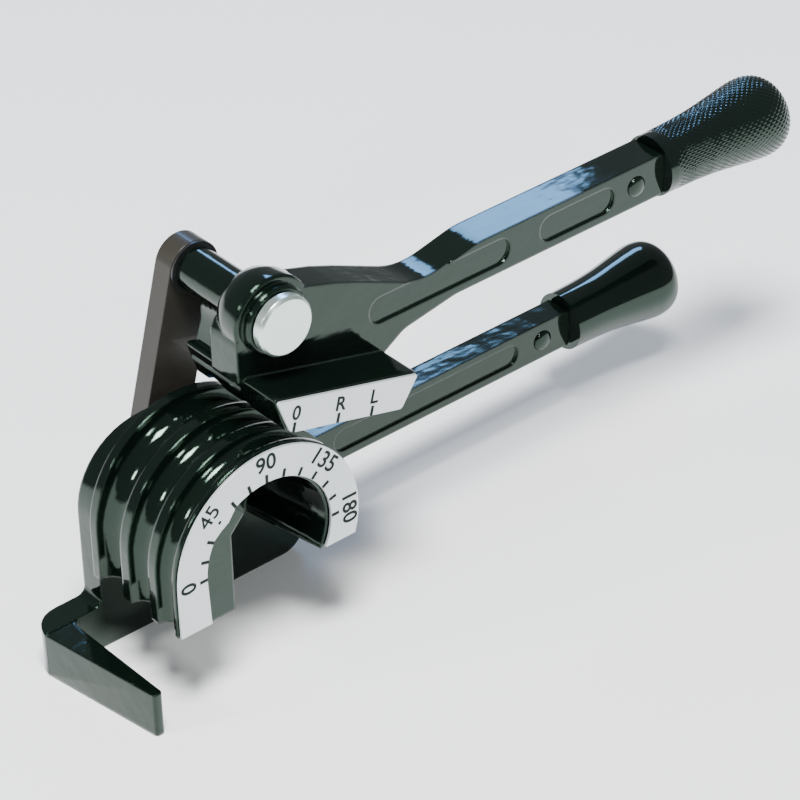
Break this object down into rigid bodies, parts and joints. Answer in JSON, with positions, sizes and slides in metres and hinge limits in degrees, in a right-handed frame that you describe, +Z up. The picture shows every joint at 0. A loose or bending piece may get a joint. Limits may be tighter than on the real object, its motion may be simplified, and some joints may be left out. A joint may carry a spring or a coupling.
{
  "type": "tube bender",
  "caption": "Hand tube bender: grooved half-round forming die with degree scale, fixed hook, swinging link and a forming handle whose shoe bends small metal tube up to 180 degrees.",
  "frame": {"origin": "middle of the flat back face of the lower handle, where the tool is held or clamped in use", "axes": "+X from the die towards the grips, +Y from the marked front to the link at the back, +Z up"},
  "size_m": [0.2271, 0.0541, 0.1005],
  "materials": {
    "black_casting": "mirror-gloss black enamel over cast metal",
    "link_black": "black with a duller edge",
    "grip_black": "gloss black, knurled on the upper grip",
    "pale_plate": "satin with dark marks",
    "bright_steel": "bright zinc plate",
    "dark_steel": "black oxide",
    "bronze": "sintered bronze"
  },
  "bodies": {
    "frame": {"frame_casting": "black_casting", "forming_die": "black_casting", "degree_plate": "pale_plate", "die_screw_1": "dark_steel", "die_screw_2": "dark_steel", "die_screw_3": "dark_steel", "die_dowel_1": "dark_steel", "die_dowel_2": "dark_steel", "centre_pin": "dark_steel", "centre_thrust_washer": "dark_steel", "centre_back_washer": "dark_steel", "lower_grip": "grip_black", "lower_grip_pin": "black_casting"},
    "link": {"link_bar": "link_black", "link_bush": "bronze", "pivot_pin": "bright_steel", "pivot_thrust_washer": "dark_steel", "pivot_ring": "dark_steel"},
    "handle": {"forming_handle": "black_casting", "shoe_plate": "pale_plate", "pivot_bush": "bronze", "upper_grip": "grip_black", "upper_grip_pin": "black_casting"}
  },
  "joints": [
    {"name": "link_swing", "type": "hinge", "parent": "frame", "child": "link", "pos_m": [-0.088, -0.04212, 0.01155], "axis": [0, 1, 0], "range_deg": [-104.8, 75.2]},
    {"name": "handle_lift", "type": "hinge", "parent": "link", "child": "handle", "pos_m": [-0.0741, -0.04212, 0.06415], "axis": [0, -1, 0], "range_deg": [0, 95]}
  ]
}
